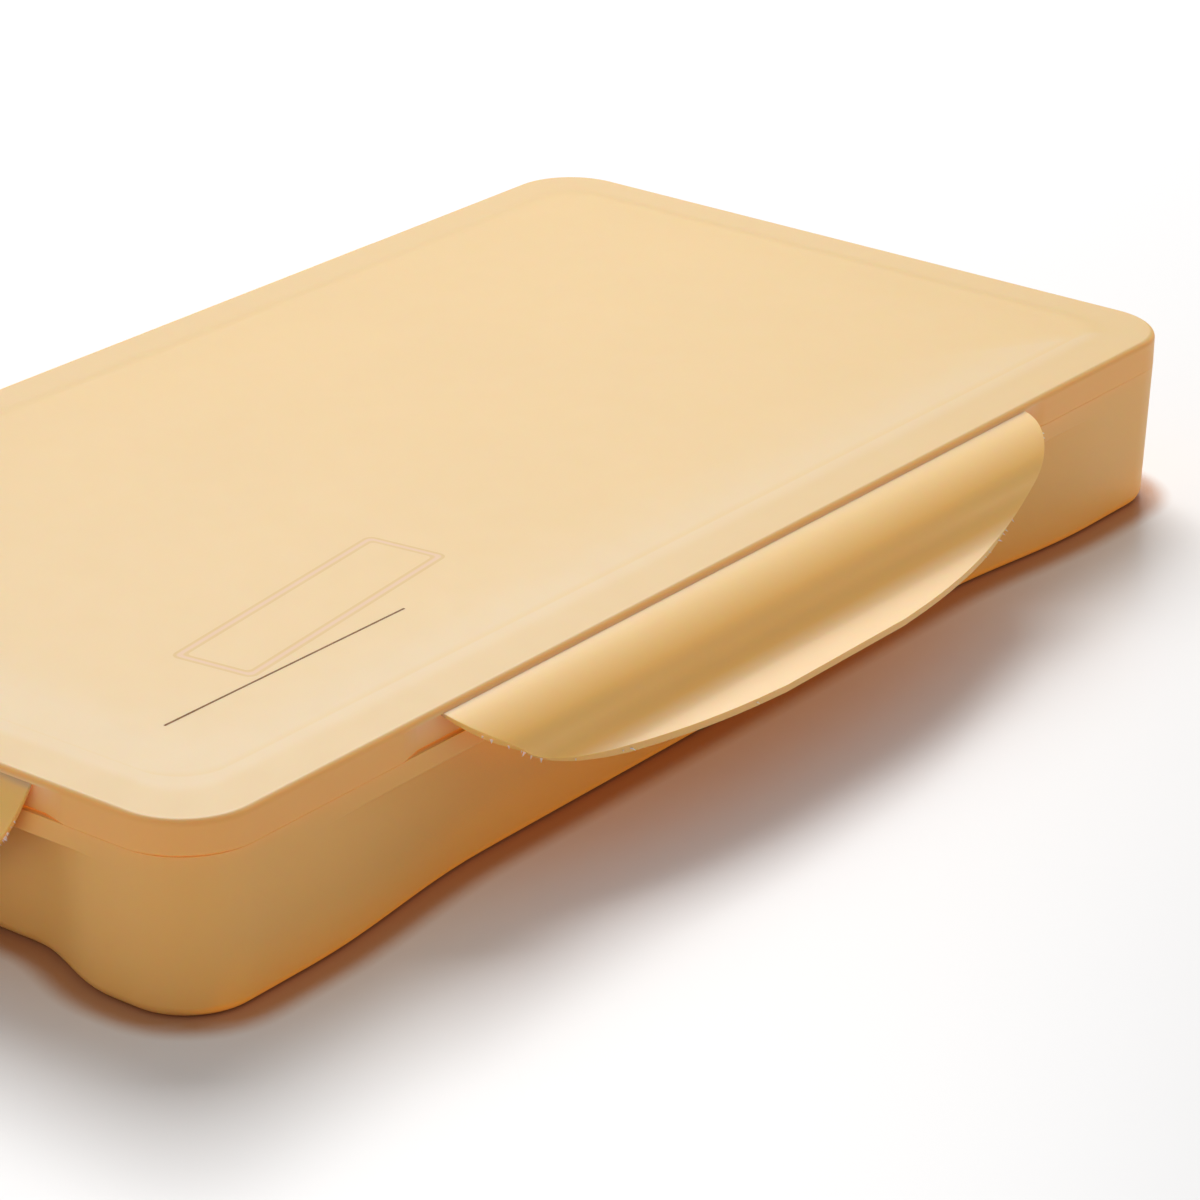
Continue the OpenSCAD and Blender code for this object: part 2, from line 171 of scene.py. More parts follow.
NO_ROOM = 1e-7
STRAIGHT = 0.02  # radians: a corner straighter or sharper than this isn't rounded
MOST_CUT = 0.96  # share of half a side that a fillet may take up


def filleted(points, steps=5):
    """A section's points (inset, z, radius) as (inset, z), with each corner rounded."""
    result = [points[0][:2]]
    for before, (x, z, radius), after in zip(points, points[1:-1], points[2:]):
        corner = Vector((x, z))
        to_a, to_b = Vector(before[:2]) - corner, Vector(after[:2]) - corner
        room = min(to_a.length, to_b.length) / 2
        if radius == 0:
            result.append((x, z))
            continue
        turn = to_a.angle(to_b) if room > NO_ROOM else math.pi
        if room <= NO_ROOM or turn > math.pi - STRAIGHT or turn < STRAIGHT:
            result += [(x, z)] * (steps + 1)
            continue
        to_a.normalize()
        to_b.normalize()
        cut = min(radius / math.tan(turn / 2), room * MOST_CUT)
        radius = cut * math.tan(turn / 2)
        centre = corner + (to_a + to_b).normalized() * radius / math.sin(turn / 2)
        first, last = corner + to_a * cut - centre, corner + to_b * cut - centre
        sweep = first.angle_signed(last)
        for i in range(steps + 1):
            spoke = first.copy()
            spoke.rotate(Matrix.Rotation(-sweep * i / steps, 2))
            result.append(tuple(centre + spoke))
    result.append(points[-1][:2])
    return result


# ---- meshes --------------------------------------------------------------------------

SHARP_ANGLE = math.radians(35)
MERGE = 1e-6


def finish_mesh(bm, name):
    """The object of a bmesh: merged, facing outwards, smooth with weighted normals."""
    bmesh.ops.remove_doubles(bm, verts=bm.verts, dist=MERGE)
    bmesh.ops.recalc_face_normals(bm, faces=bm.faces)
    for face in bm.faces:
        face.smooth = True
    mesh = bpy.data.meshes.new(name)
    bm.to_mesh(mesh)
    bm.free()
    mesh.set_sharp_from_angle(angle=SHARP_ANGLE)
    obj = bpy.data.objects.new(name, mesh)
    bpy.context.scene.collection.objects.link(obj)
    weighted = obj.modifiers.new("weighted_normals", "WEIGHTED_NORMAL")
    weighted.keep_sharp = True
    return obj


def add_grid(bm, rows, around=True, cap_first=True, cap_last=True):
    """Faces through rows of as many points each; around closes each row."""
    verts = [[bm.verts.new(p) for p in row] for row in rows]
    count = len(rows[0])
    for low, high in zip(verts, verts[1:]):
        for i in range(count if around else count - 1):
            k = (i + 1) % count
            bm.faces.new((low[i], low[k], high[k], high[i]))
    if around and cap_first:
        bm.faces.new(list(reversed(verts[0])))
    if around and cap_last:
        bm.faces.new(verts[-1])
    return verts


def add_shell(bm, plan, section, cap_first=True, cap_last=True):
    """A skin round a plan, whose section at each station is section(station): (inset, z) points,
    or (inset, z, least corner radius)."""
    columns = [[plan.spot(s, *point) for point in section(s)] for s in plan.stations]
    return add_grid(bm, list(zip(*columns)), cap_first=cap_first, cap_last=cap_last)


def add_bar(bm, low, high, radius, steps=3):
    """A box with rounded upright and upper edges. Its plan's radius is a hair over the inset of
    its top, so that the corners keep their points apart."""
    middle = [(a + b) / 2 for a, b in zip(low, high)]
    plan = Plan(high[0] - middle[0], high[1] - middle[1], radius * 1.01, middle[:2], steps)
    section = filleted([(radius, low[2], 0), (0, low[2], 0), (0, high[2], radius),
                        (radius, high[2], 0)], steps)
    add_shell(bm, plan, lambda station: section)


# ---- materials -----------------------------------------------------------------------


def linear(hex_colour):
    """A "#rrggbb" colour as the linear colour that shows it."""
    channels = [int(hex_colour[i:i + 2], 16) / 255 for i in (1, 3, 5)]
    return [c / 12.92 if c <= 0.04045 else ((c + 0.055) / 1.055) ** 2.4 for c in channels] + [1]


class Nodes:
    """A material's node tree, with a short call for each kind of node that is used."""

    def __init__(self, name, **constants):
        self.material = bpy.data.materials.new(name)
        self.material.use_nodes = True
        self.tree = self.material.node_tree
        self.shader = self.tree.nodes["Principled BSDF"]
        self.coords = self.tree.nodes.new("ShaderNodeTexCoord").outputs["Object"]
        for key, value in constants.items():
            self.shader.inputs[key.replace("_", " ")].default_value = value

    def node(self, kind, links=(), **values):
        node = self.tree.nodes.new(kind)
        for key, value in values.items():
            if key in node.inputs:
                node.inputs[key].default_value = value
            else:
                setattr(node, key, value)
        for key, source in dict(links).items():
            self.tree.links.new(source, node.inputs[key])
        return node

    def noise(self, scale, detail=3, roughness=0.5):
        return self.node("ShaderNodeTexNoise", {"Vector": self.coords}, Scale=scale,
                         Detail=detail, Roughness=roughness).outputs["Fac"]

    def spread(self, value, low, high, from_low=0.3, from_high=0.7):
        """The value taken from its own range to low ... high."""
        node = self.node("ShaderNodeMapRange", {"Value": value})
        for key, number in (("From Min", from_low), ("From Max", from_high),
                            ("To Min", low), ("To Max", high)):
            node.inputs[key].default_value = number
        return node.outputs["Result"]

    def ramp(self, value, *stops):
        """A colour ramp through (position, linear colour) stops."""
        node = self.node("ShaderNodeValToRGB", {"Fac": value})
        elements = node.color_ramp.elements
        while len(elements) < len(stops):
            elements.new(0.5)
        for element, (position, colour) in zip(elements, stops):
            element.position = position
            element.color = colour
        return node.outputs["Color"]

    def mottled(self, noise, first, second):
        """A colour that drifts between two."""
        return self.ramp(noise, (0.3, first), (0.7, second))

    def mix(self, factor, first, second):
        node = self.node("ShaderNodeMix", data_type="RGBA")
        self.tree.links.new(factor, node.inputs[0])
        for socket, value in ((node.inputs[6], first), (node.inputs[7], second)):
            if isinstance(value, (list, tuple)):
                socket.default_value = value
            else:
                self.tree.links.new(value, socket)
        return node.outputs[2]

    def math(self, operation, first, second):
        node = self.node("ShaderNodeMath", operation=operation)
        for socket, value in zip(node.inputs, (first, second)):
            if isinstance(value, (int, float)):
                socket.default_value = value
            else:
                self.tree.links.new(value, socket)
        return node.outputs[0]

    def axis(self, vector, letter):
        return self.node("ShaderNodeSeparateXYZ", {"Vector": vector}).outputs[letter]

    def openness(self, distance):
        """1 on an open surface, down to 0 where others enclose it within the distance."""
        return self.node("ShaderNodeAmbientOcclusion", samples=4, Distance=distance).outputs["AO"]

    def attribute(self, name):
        return self.node("ShaderNodeAttribute", attribute_name=name).outputs["Fac"]

    def bump(self, *heights):
        """Bumps in a chain, each (height output, distance in metres)."""
        normal = None
        for height, distance in heights:
            links = {"Height": height}
            if normal:
                links["Normal"] = normal
            normal = self.node("ShaderNodeBump", links, Distance=distance,
                               Strength=1.0).outputs["Normal"]
        self.tree.links.new(normal, self.shader.inputs["Normal"])

    def plug(self, socket, source):
        self.tree.links.new(source, self.shader.inputs[socket])


def shade(colour, factor):
    return [min(c * factor, 1) for c in colour[:3]] + [1]


PLASTIC_IOR, PLASTIC_GLOSS, FINISH_VARIES = 1.49, 0.42, 0.015
TRANSLUCENCY, LIGHT_TRAVEL = 0.5, (1.0, 0.38, 0.1)
# Painted shade: over these heights of the normal the deeper upright colour turns into the paler
# level colour.
UPRIGHT_TO_LEVEL = (0.68, 1)  # heights of the normal
# Painted glow: the normal's y over which front-facing walls take the orange tint and glow of
# sheltered places.
FACING_FRONT = (-0.9, -0.5)  # y of the normal
# Painted light from above on the flaps grows over these heights of the normal.
LIT_FROM_ABOVE = (0.4, 0.85)  # heights of the normal
SHELTER_OPENNESS, CREVICE_OPENNESS = (0.12, 0.55), (0, 0.62)
GRAIN, WAVINESS = 0.006 * MM, 0.004 * MM
# Painted glow strengths: in narrow crevices near the rim band, and on the flaps' upward faces.
CREVICE_W, CREVICE_GLOW, FLAP_PAINTED_LIGHT = 1.5 * MM, 0.24, 0.05
CREVICES_FROM = (BAND_Z - 2 * MM, BAND_Z)
SHELTER_W, SHELTER_GLOW, PAINTED_GLOW_TINT = 28 * MM, 0.4, [1, 0.37, 0.035, 1]
# Colour of the painted glows.
GLOW_COLOUR = (1, 0.34, 0.025, 1)


def moulded_plastic(name, level, upright, roughness, depth=2 * MM, tints=None,
                    sheltered=False, panel_sheen=False, lit=0):
    """Satin moulded plastic, with faint flow marks and a fine spark-eroded grain. It is
    translucent, and painted light stands in for what comes through it: upright faces are painted a
    deeper, shaded colour than level ones; narrow crevices, and with sheltered the enclosed
    front-facing walls, get a painted orange glow; and with lit the upward faces get a painted
    light. Vertex attributes mix in the tints."""
    nodes = Nodes(name, IOR=PLASTIC_IOR, Specular_IOR_Level=PLASTIC_GLOSS,
                  Subsurface_Weight=TRANSLUCENCY if depth else 0, Subsurface_Scale=depth,
                  Subsurface_Radius=LIGHT_TRAVEL)
    flow = nodes.noise(26, 2)
    tones = [nodes.mottled(flow, shade(c, 0.99), shade(c, 1.01)) for c in (upright, level)]
    normal = nodes.node("ShaderNodeNewGeometry").outputs["Normal"]
    rise = nodes.axis(normal, "Z")
    # Painted sheen on the lid's panel.
    if panel_sheen:
        tones[1] = painted_panel_sheen(nodes, tones[1], normal)
    # Painted shade: upright faces get the deeper, shaded colour and level faces the paler, lit one.
    base = nodes.mix(nodes.spread(rise, 0, 1, *UPRIGHT_TO_LEVEL), *tones)
    # Painted glow: front-facing walls enclosed within the shelter width are tinted orange, standing
    # in for light through the flap above them.
    if sheltered:
        shelter = nodes.math("MULTIPLY",
                             nodes.spread(nodes.axis(normal, "Y"), 1, 0, *FACING_FRONT),
                             nodes.spread(nodes.openness(SHELTER_W), 1, 0, *SHELTER_OPENNESS))
        base = nodes.mix(shelter, base, PAINTED_GLOW_TINT)
    for attribute, colour in (tints or {}).items():
        base = nodes.mix(nodes.attribute(attribute), base, colour)
    nodes.plug("Base Color", base)
    nodes.plug("Roughness", nodes.spread(nodes.noise(140, 4), roughness - FINISH_VARIES,
                                         roughness + FINISH_VARIES))
    nodes.bump((nodes.noise(2600, 2), GRAIN), (nodes.noise(60, 1), WAVINESS))
    # Painted glow in narrow crevices near the rim band, standing in for light carried through the
    # plastic.
    glow = nodes.math("MULTIPLY",
                      nodes.spread(nodes.axis(nodes.coords, "Z"), 0, CREVICE_GLOW, *CREVICES_FROM),
                      nodes.spread(nodes.openness(CREVICE_W), 1, 0, *CREVICE_OPENNESS))
    # The sheltered walls' painted glow is added to the emission.
    if sheltered:
        glow = nodes.math("MAXIMUM", glow, nodes.math("MULTIPLY", shelter, SHELTER_GLOW))
    # Painted light: faces that turn upwards glow, as if more lit from above.
    if lit:
        glow = nodes.math("MAXIMUM", glow, nodes.spread(rise, 0, lit, *LIT_FROM_ABOVE))
    nodes.plug("Emission Strength", glow)
    nodes.shader.inputs["Emission Color"].default_value = GLOW_COLOUR
    return nodes.material


# The lid's painted sheen: its paler colour, the border's tone, and where and how strongly the sheen
# falls.
PAINTED_SHEEN, BORDER = [0.668, 0.482, 0.245, 1], [0.645, 0.428, 0.162, 1]
PALE_TOWARDS = (-0.87, -0.5)  # front left, as weights of the normal's x and y
PALE_FLATNESS = (0.9, 0.99)  # heights of the normal: none on the rounded edge, all on the panel
PALE_SHARE, PALE_SLOPE = 0.75, 0.008
PALE_CREST, CREST_SLOPES = 0.3, (0.02, 0.07)
PALE_END = 0.4


def painted_panel_sheen(nodes, tone, normal):
    """The lid's tone, with a painted sheen: paler where its panel slopes to the front and the
    left, on the step's crest and towards its left end, and a little deeper on the border."""
    slope = nodes.math("ADD", *(nodes.math("MULTIPLY", nodes.axis(normal, letter), weight)
                                for letter, weight in zip("XY", PALE_TOWARDS)))
    slope = nodes.math("MULTIPLY", slope,
                       nodes.spread(nodes.axis(normal, "Z"), 0, 1, *PALE_FLATNESS))
    panel = nodes.spread(nodes.axis(nodes.coords, "Z"), 0, 1, RIM_Z, PANEL_Z)
    pale = nodes.spread(nodes.axis(nodes.coords, "X"), PALE_END, 0, -HALF_L, 0)
    for part in (nodes.math("MULTIPLY", nodes.spread(slope, 0, PALE_SHARE, 0, PALE_SLOPE), panel),
                 nodes.spread(slope, 0, PALE_CREST, *CREST_SLOPES)):
        pale = nodes.math("ADD", pale, part)
    return nodes.mix(pale, nodes.mix(panel, BORDER, tone), PAINTED_SHEEN)


# The first colour is the plastic's own colour on level faces; the second, deeper one is the painted
# shade of its upright faces.
PASTEL, DEEP_SHADE = [0.668, 0.443, 0.165, 1], [0.92, 0.485, 0.135, 1]
# The flap's level colour, and the deeper painted shade of its upright faces.
FLAP_LEVEL, FLAP_UPRIGHT_SHADE = [0.94, 0.69, 0.36, 1], [0.98, 0.56, 0.155, 1]
# The bead's flanks carry painted shade and its ridge a painted highlight.
BEAD_FLANK_SHADE, BEAD_RIDGE_HIGHLIGHT = [0.595, 0.37, 0.1, 1], [0.64, 0.4, 0.21, 1]
# The first is the whitened plastic of the lid's hinge lines and of flash; the second is the flaps'
# darker tint: painted shade in the hinge crease, and darker root and lip.
WHITE, DARK_TINT = linear("#f1ede6"), [0.5, 0.385, 0.25, 1]
case_lid = moulded_plastic("case_lid_plastic", PASTEL, DEEP_SHADE, 0.46, tints={"whitening": WHITE},
                           panel_sheen=True)
case_tray = moulded_plastic("case_tray_plastic", PASTEL, DEEP_SHADE, 0.45, sheltered=True)
# The flaps carry a painted light on their upward faces.
case_flap = moulded_plastic("case_flap_plastic", FLAP_LEVEL, FLAP_UPRIGHT_SHADE, 0.44, 1.5 * MM,
                            tints={"darkening": DARK_TINT, "flash": WHITE}, lit=FLAP_PAINTED_LIGHT)
case_bead = moulded_plastic("case_bead_plastic", PASTEL, DEEP_SHADE, 0.46, 0,
                            tints={"flank": BEAD_FLANK_SHADE, "ridge": BEAD_RIDGE_HIGHLIGHT})


def dress(obj, material, body, slot, *nodes):
    """Gives a piece its material and its body, and hides the nodes it stands for. The slot is not
    used.
    """
    obj.data.materials.append(material)
    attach(obj, body)
    if nodes:
        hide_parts(*nodes)


# ---- tray ----------------------------------------------------------------------------


def soft_dip(u, depth, flat, bend):
    """Depth of a finger recess at u along its wall."""
    share = min(max((abs(u) - flat / 2) / bend, 0), 1)
    return depth * (1 + math.cos(math.pi * share)) / 2


def lean(z):
    """How far the draft brings the tray's wall in at a height."""
    return DRAFT * (1 - z / PARTING_Z)


INNER_W = 4 * MM  # of the skin on a flat before its cap
tray_plan = Plan(HALF_L, HALF_W, CORNER_R, steps=14,
                 long_u=spread(-134 * MM, 134 * MM, 76), short_u=spread(-67 * MM, 67 * MM, 52))


def tray_dip(station):
    side, u = tray_plan.along(station)
    return {"long": soft_dip(u, **LONG_RECESS), "short": soft_dip(u, **SHORT_RECESS), None: 0}[side]


def tray_section(station):
    dip = tray_dip(station)
    ring_in = lean(0) + FOOT_R + FOOT_RING_W + dip
    return filleted([
        (ring_in + WALL, FOOT_H, 0),
        (ring_in, FOOT_H, 0.3 * MM),
        (ring_in, 0, 0.2 * MM),
        (lean(0) + dip, 0, FOOT_R),
        (lean(BAND_Z) + dip, BAND_Z, 0.5 * MM),
        (lean(BAND_Z), BAND_Z, 0.35 * MM),
        (0, PARTING_Z, 0.15 * MM),
        (WALL, PARTING_Z, 0.3 * MM),
        (WALL, LEDGE_Z, 0.3 * MM),
        (lean(LEDGE_Z) + WALL + dip, LEDGE_Z, 0.5 * MM),
        (lean(FLOOR_Z) + WALL + dip, FLOOR_Z, 2 * MM),
        (lean(FLOOR_Z) + WALL + dip + INNER_W, FLOOR_Z, 0)])


CUP_COLS, CUP_ROWS = 6, 3
CUP_PITCH = 48.8 * MM
RIB_T, RIB_H, RIB_EDGE_R = 1.4 * MM, 1.2 * MM, 0.5 * MM
CUP_RIM_W = 1.8 * MM


def build_tray():
    bm = bmesh.new()
    add_shell(bm, tray_plan, tray_section)
    span_x = (CUP_COLS * CUP_PITCH - CUP_RIM_W) / 2
    span_y = (CUP_ROWS * CUP_PITCH - CUP_RIM_W) / 2
    low, high = FLOOR_Z - FLOOR_T / 4, FLOOR_Z + RIB_H
    for i in range(1, CUP_COLS):
        x = (i - CUP_COLS / 2) * CUP_PITCH
        add_bar(bm, (x - RIB_T / 2, -span_y, low), (x + RIB_T / 2, span_y, high), RIB_EDGE_R)
    for j in range(1, CUP_ROWS):
        y = (j - CUP_ROWS / 2) * CUP_PITCH
        add_bar(bm, (-span_x, y - RIB_T / 2, low), (span_x, y + RIB_T / 2, high), RIB_EDGE_R)
    dress(finish_mesh(bm, "case_tray"), case_tray, "tray", "case", "tray")


build_tray()

# ---- lid -----------------------------------------------------------------------------


def with_step(at, reach):
    """Places along a wall, with a ramp at both ends of its relief."""
    return sorted([s * (at - d) for s in (-1, 1) for d in spread(0, RELIEF_TAPER, 4)]
                  + spread(-reach, reach, 12))


lid_plan = Plan(HALF_L, HALF_W, CORNER_R, steps=14,
                long_u=with_step(LONG_RELIEF, 96 * MM), short_u=with_step(SHORT_RELIEF, 48 * MM))


def relief(station):
    """Depth of the cut over a hinge line at a station, tapered at its ends."""
    side, u = lid_plan.along(station)
    end = {"long": LONG_RELIEF, "short": SHORT_RELIEF, None: -1}[side]
    return RELIEF_D * min(max((end - abs(u)) / RELIEF_TAPER, 0), 1)


def crown(inset):
    """Height of the lid's panel at an inset from the case's outline."""
    panel_in = BORDER_W + PANEL_STEP_W
    share = min(max((inset - panel_in) / (CROWN_INSET - panel_in), 0), 1)
    return PANEL_Z + PANEL_CROWN * (1 - (1 - share) ** 2)


def panel_corner(inset):
    """Least corner radius of the lid's top at an inset: its panel has the rounder corners."""
    return min(max(PANEL_CORNER_R, inset * PANEL_CORNER_GROWTH), MOST_CORNER_R)


def lid_edge():
    """The rounding of the lid's top edge, above the hinge lines: (inset, z, no fillet)."""
    start = math.asin(1 - (RIM_Z - RELIEF_TOP) / LID_EDGE_R)
    return [(LID_EDGE_R * (1 - math.cos(a)), RIM_Z - LID_EDGE_R * (1 - math.sin(a)), 0)
            for a in spread(start, math.pi / 2, 9)]


CORNER_FROM = 0.75


def parting_gap(station):
    """Width of the parting line, which opens at the flaps and at the front left corner."""
    towards = -(station.normal_x + station.normal_y) / math.sqrt(2)
    nearness = max(0, towards - CORNER_FROM) / (1 - CORNER_FROM)
    at_corner = abs(station.core_x) == abs(station.core_y) == 1
    return (PART_GAP + (CORNER_GAP - PART_GAP) * (nearness if at_corner else 0)
            + FLAP_GAP * relief(station) / RELIEF_D)


def lid_section(station):
    cut = relief(station)
    edge = PARTING_Z + parting_gap(station)
    groove = SEAL_H / 2
    outside = filleted([
        (PLUG_INNER + 12 * MM, LID_UNDER_Z, 0),
        (PLUG_INNER, LID_UNDER_Z, 0.6 * MM),
        (PLUG_INNER, PLUG_Z, 0.3 * MM),
        (PLUG_OUTER, PLUG_Z, 0.3 * MM),
        (PLUG_OUTER, SEAL_Z - groove, 0),
        (PLUG_OUTER + SEAL_SEAT, SEAL_Z - groove, 0),
        (PLUG_OUTER + SEAL_SEAT, SEAL_Z + groove, 0),
        (PLUG_OUTER, SEAL_Z + groove, 0),
        (PLUG_OUTER, LID_UNDER_Z, 0.4 * MM),
        (SKIRT_T, LID_UNDER_Z, 0.4 * MM),
        (SKIRT_T, edge, 0.3 * MM),
        (cut, edge, 0.06 * MM),
        (cut, RELIEF_TOP if cut else RIM_Z - LID_EDGE_R, 0),
        *lid_edge(),
        (BORDER_W, RIM_Z, PANEL_FILLET),
        (BORDER_W + PANEL_STEP_W, PANEL_Z, PANEL_FILLET),
        (BORDER_W + 2 * PANEL_STEP_W, PANEL_Z + 0.01 * MM, 0)], 6)
    whole = outside + [(inset, crown(inset)) for inset in spread(*CROWN_ROWS)]
    return [(inset, z, panel_corner(inset) if z > RIM_Z - MERGE else LEAST_R)
            for inset, z in whole]


FRAME_AT = Vector((-73.7, -38, 0)) * MM
FRAME_SIZE = (65.9 * MM, 18.6 * MM)
FRAME_TURN = math.radians(7.2)
FRAME_CORNER_R, FRAME_INSET = 2.2 * MM, 30 * MM
FRAME_BEAD_W, FRAME_BEAD_H = 3 * MM, 0.02 * MM
HINGE_WHITENING = 0.2


def build_lid():
    """The lid in one skin, whitened a little just over its hinge lines."""
    bm = bmesh.new()
    whitening = bm.verts.layers.float.new("whitening")
    for row in add_shell(bm, lid_plan, lid_section):
        for vert, station in zip(row, lid_plan.stations):
            above = (vert.co.z - RELIEF_TOP) / HINGE_T
            if -0.1 < above < 1:
                vert[whitening] = HINGE_WHITENING * (1 - above) * relief(station) / RELIEF_D
    dress(finish_mesh(bm, "case_lid"), case_lid, "lid", "case", "lid")


build_lid()


def build_frame_bead():
    """The plain raised outline on the lid, its bead rounded and bedded in the panel. It carries a
    painted highlight along its middle, where u is 0, and painted shade on its flanks."""
    bm = bmesh.new()
    tints = {key: bm.verts.layers.float.new(key) for key in ("flank", "ridge")}
    plan = Plan(FRAME_SIZE[0] / 2, FRAME_SIZE[1] / 2, FRAME_CORNER_R, steps=6)
    places = spread(-1, 1, 18)
    section = [(FRAME_BEAD_W * (1 + u) / 2, PANEL_Z + FRAME_BEAD_H * (2 * math.sqrt(1 - u * u) - 1))
               for u in places]
    rows = list(zip(*[[plan.spot(s, x, z) for x, z in section + section[:1]]
                      for s in plan.stations]))
    for row, u in zip(add_grid(bm, rows, cap_first=False, cap_last=False), places):
        # Painted shade on the flanks, painted highlight along the ridge.
        for vert in row:
            vert[tints["flank"]] = min(1, 3 * (1 - abs(u)))
            vert[tints["ridge"]] = min(1, max(0, 2 - 5 * abs(u)))
    bmesh.ops.rotate(bm, verts=bm.verts, matrix=Matrix.Rotation(FRAME_TURN, 3, "Z"))
    lift = Vector((0, 0, crown(FRAME_INSET) - PANEL_Z))
    bmesh.ops.translate(bm, verts=bm.verts, vec=FRAME_AT + lift)
    dress(finish_mesh(bm, "lid_frame_bead"), case_bead, "lid", "case")


build_frame_bead()

RULE_X = (-129 * MM, -64.5 * MM)
RULE_Y = -52.1 * MM
RULE_W, RULE_H = 0.5 * MM, 0.012 * MM


def build_rule():
    """The thin printed line under the raised outline, laid on the crown of the panel."""
    bm = bmesh.new()
    rows = []
    for x in spread(*RULE_X, 24):
        low = crown(min(HALF_L - abs(x), HALF_W - abs(RULE_Y)))
        rows.append([Vector((x, RULE_Y + RULE_W * math.cos(a) / 2, low + RULE_H * math.sin(a)))
                     for a in spread(0, math.pi, 6)])
    add_grid(bm, rows)
    nodes = Nodes("printed_brown", Specular_IOR_Level=0.1)
    nodes.plug("Base Color", nodes.mottled(nodes.noise(900), linear("#6b4519"), linear("#875b26")))
    nodes.plug("Roughness", nodes.spread(nodes.noise(400), 0.45, 0.6))
    dress(finish_mesh(bm, "lid_printed_rule"), nodes.material, "lid", "case")


build_rule()

# ---- seal ----------------------------------------------------------------------------


def build_seal():
    bm = bmesh.new()
    outer, inner = PLUG_OUTER + SEAL_SEAT - SEAL_W, PLUG_OUTER + SEAL_SEAT
    low, high = SEAL_Z - SEAL_H / 2 + REST / 2, SEAL_Z + SEAL_H / 2 - REST / 2
    section = filleted([(inner, SEAL_Z, 0), (inner, low, 0.1 * MM), (outer, low, 0.4 * MM),
                        (outer, high, 0.4 * MM), (inner, high, 0.1 * MM), (inner, SEAL_Z, 0)])
    add_shell(bm, lid_plan, lambda station: section, cap_first=False, cap_last=False)
    dress(finish_mesh(bm, "seal_ring_band"), seal_rubber(), "lid", "seal", "seal_ring")


def seal_rubber():
    nodes = Nodes("seal_rubber", IOR=1.45, Specular_IOR_Level=0.3)
    nodes.plug("Base Color", nodes.mottled(nodes.noise(90), linear("#cfcabb"), linear("#dcd8cb")))
    nodes.plug("Roughness", nodes.spread(nodes.noise(300), 0.55, 0.7))
    nodes.bump((nodes.noise(1800), 0.01 * MM))
    return nodes.material


build_seal()

# ---- flaps ---------------------------------------------------------------------------


def arc_face(start, radius, from_a, to_a, steps):
    """Points (out, down, angle) along an arc of a flap's outer face, after start."""
    side = 1 if to_a < from_a else -1
    return [(start[0] + side * radius * (math.cos(a) - math.cos(from_a)),
             start[1] + side * radius * (math.sin(from_a) - math.sin(a)), a)
            for a in spread(from_a, to_a, steps)[1:]]


def flap_face():
    """The outer face of a latched flap, from its hinge to the end of its lip."""
    face = [(HINGE_T / 2 * math.cos(ROOT_A), -HINGE_T / 2 * math.sin(ROOT_A), ROOT_A)]
    face += arc_face(face[-1], BULGE_R, ROOT_A, BULGE_END_A, 16)
    bulge_down = face[-1][1]
    face += arc_face(face[-1], TUCK_R, BULGE_END_A, TUCK_END_A, 12)
    face += arc_face(face[-1], FLARE_R, TUCK_END_A, LIP_A, 20)
    out, down, angle = face[-1]
    face += [(out + s * math.sin(angle), down + s * math.cos(angle), angle)
             for s in spread(0, LIP_L, 10)[1:]]
    return face, bulge_down


def flap_thickness(down, bulge_down):
    """Thickness that grows from the hinge to the foot of the bulge."""
    return HINGE_T + (FLAP_T - HINGE_T) * min(max(down / bulge_down, 0), 1)


# Widths and strengths of the darker tint: painted shade in the hinge crease, and a darker tone at
# the root and towards the lip.
CREASE_W, ROOT_W, LIP_DARKENING_W = 0.5 * MM, 3 * MM, 10 * MM
CREASE_SHADE, ROOT_DARKENING, LIP_DARKENING = 0.8, 0.35, 0.2
FLAP_COLUMNS = 72
FLAP_EDGE_R, FLAP_EDGE_STEPS = 0.25 * MM, 3
ROOT_SWEEP = (math.radians(80), math.radians(20))
FlapRow = namedtuple("FlapRow", "middle normal thick half arc")


def darkening_at(arc, end, whole):
    """How dark a flap's skin is tinted at a place along its arc: painted shade in the hinge
    crease, and a darker tone over the root and towards the lip. The crease is wider towards the
    ends, where end is 1."""
    crease = CREASE_SHADE * min(1, max(0, 1.6 + 0.5 * end ** 4 - arc / CREASE_W))
    lip = LIP_DARKENING * min(1, max(0, (arc - whole + LIP_DARKENING_W) / (LIP_DARKENING_W / 3)))
    return max(crease, ROOT_DARKENING * (1 - arc / ROOT_W), lip)


def flap_rows(length, face, bulge_down):
    """A latched flap's rows across its length, from the round root in the hinge to the lip."""
    thick = [flap_thickness(down, bulge_down) for _, down, _ in face]
    reach = max(down + t * math.sin(a) for (_, down, a), t in zip(face, thick))
    rows = [FlapRow(Vector((-math.sin(ROOT_A), -math.cos(ROOT_A))) * HINGE_T / 2 * math.sin(a),
                    Vector((math.cos(ROOT_A), -math.sin(ROOT_A))), HINGE_T * math.cos(a),
                    length / 2, 0)
            for a in spread(*ROOT_SWEEP, 3)]
    arc = 0
    for k, ((out, down, angle), t) in enumerate(zip(face, thick)):
        if k:
            arc += math.hypot(out - face[k - 1][0], down - face[k - 1][1])
        normal = Vector((math.cos(angle), -math.sin(angle)))
        middle = Vector((out, down)) - normal * t / 2
        share = min(max(middle.y / reach, 0), 1)
        half = length / 2 * (1 - share ** 2) ** (1 / OUTLINE_POWER)
        rows.append(FlapRow(middle, normal, t, half, arc))
    return rows


